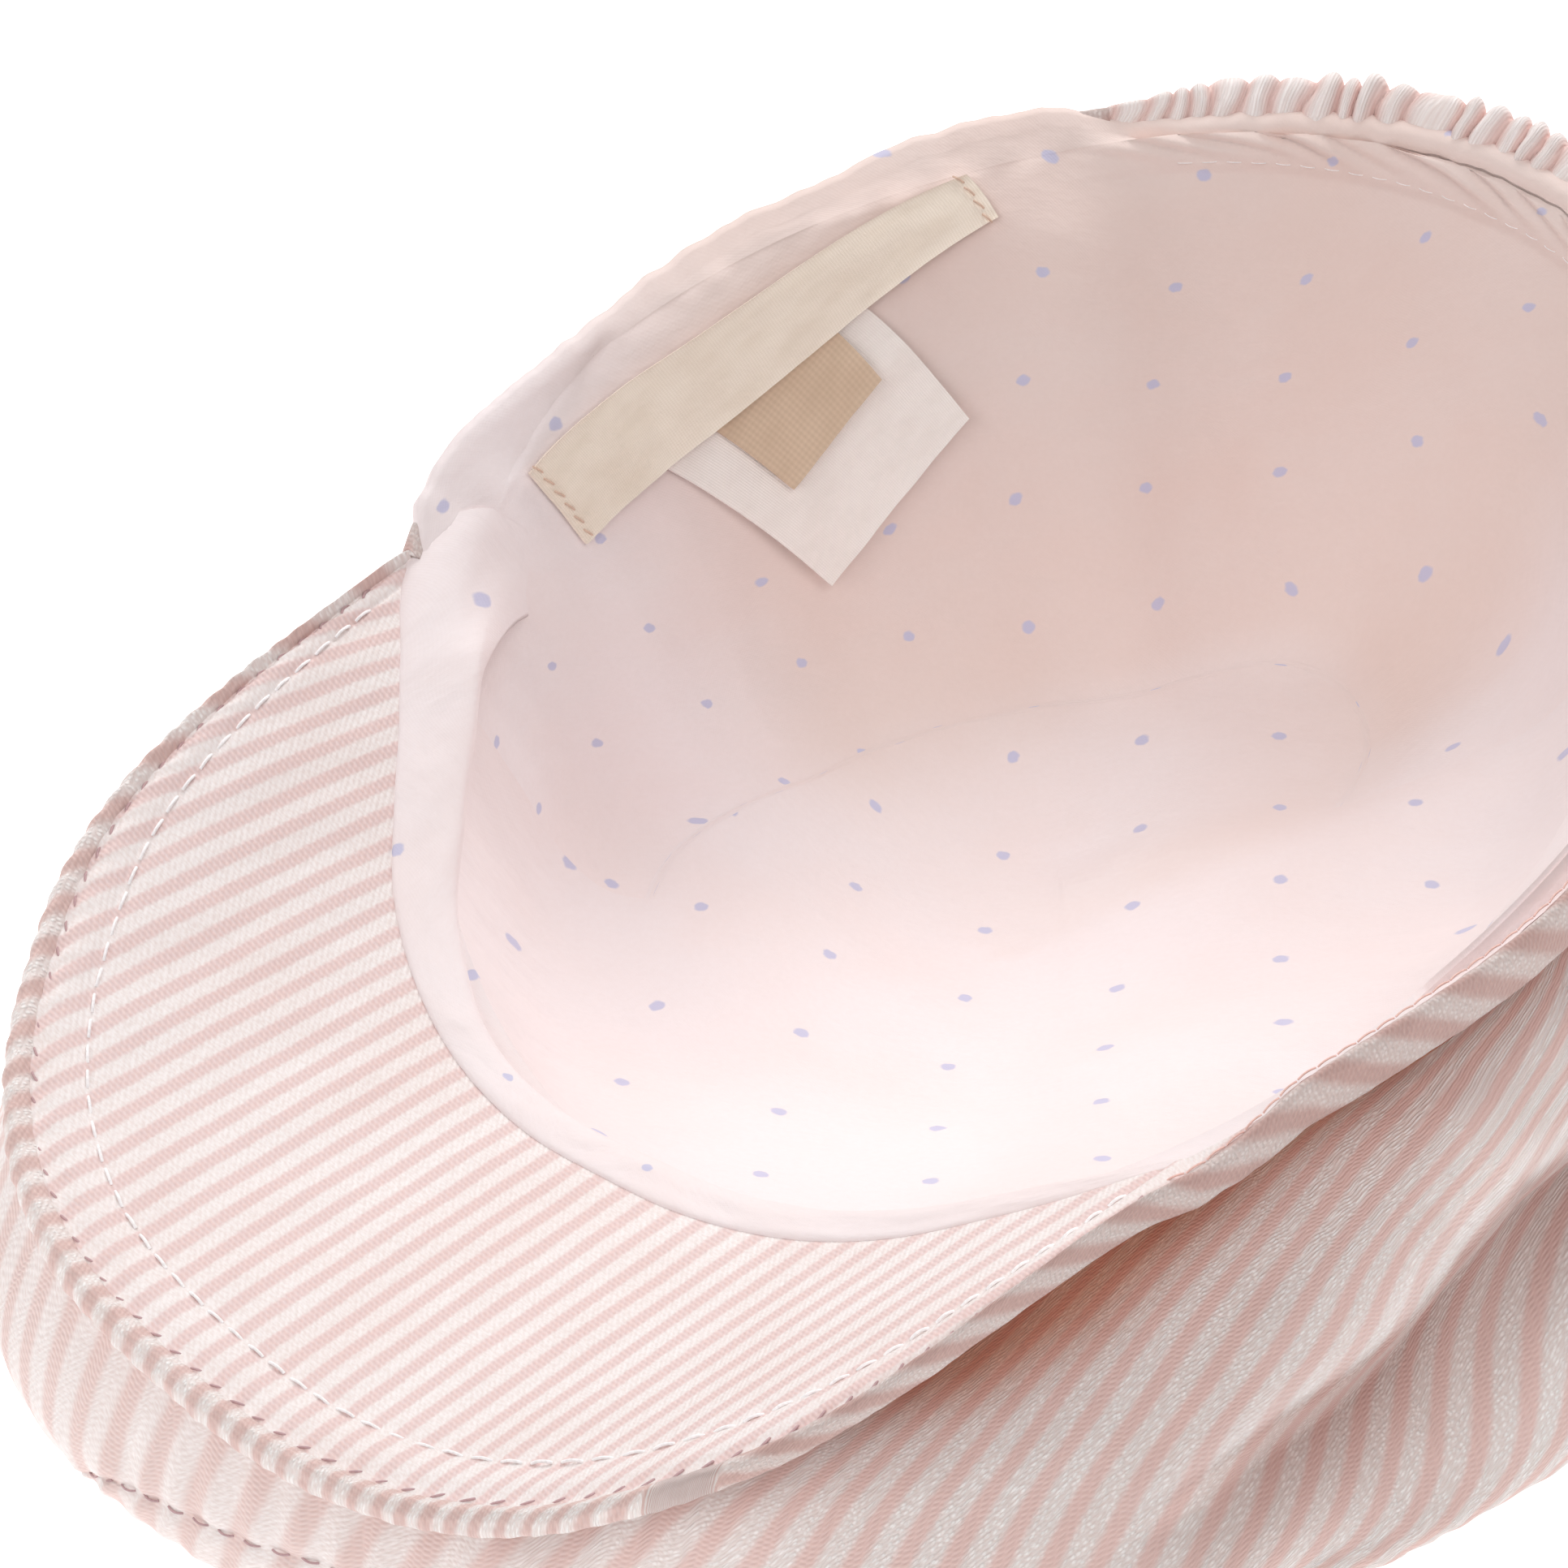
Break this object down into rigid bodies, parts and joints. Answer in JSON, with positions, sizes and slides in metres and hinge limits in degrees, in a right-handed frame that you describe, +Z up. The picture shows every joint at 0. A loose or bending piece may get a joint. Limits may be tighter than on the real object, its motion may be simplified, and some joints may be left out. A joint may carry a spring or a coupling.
{
  "type": "driver cap",
  "caption": "Soft striped cotton driver cap lying upside down on its crown, with a short visor, a dotted lining, sewn-in labels and a gathered elastic back.",
  "frame": {"origin": "middle of the footprint, on the surface the crown rests on", "axes": "+Z up as the cap lies upside down, +Y from the visor towards the elastic back, +X to the cap's right as seen from the visor"},
  "size_m": [0.188, 0.2434, 0.0777],
  "materials": {
    "striped_cotton": "nubby pink and white striped cotton",
    "dotted_lining": "plain pale pink cotton lawn with small lilac dots",
    "woven_label": "cream woven tape",
    "tan_label": "tan woven tape",
    "white_label": "white satin ribbon"
  },
  "bodies": {
    "root": {"crown_top": "striped_cotton", "crown_front": "striped_cotton", "crown_side_right": "striped_cotton", "crown_side_left": "striped_cotton", "rolled_edge_right": "striped_cotton", "rolled_edge_left": "striped_cotton", "elastic_back": "striped_cotton", "visor": "striped_cotton", "front_facing": "dotted_lining", "lining": "dotted_lining", "main_label": "woven_label", "size_label": "tan_label", "care_label": "white_label"}
  },
  "joints": []
}
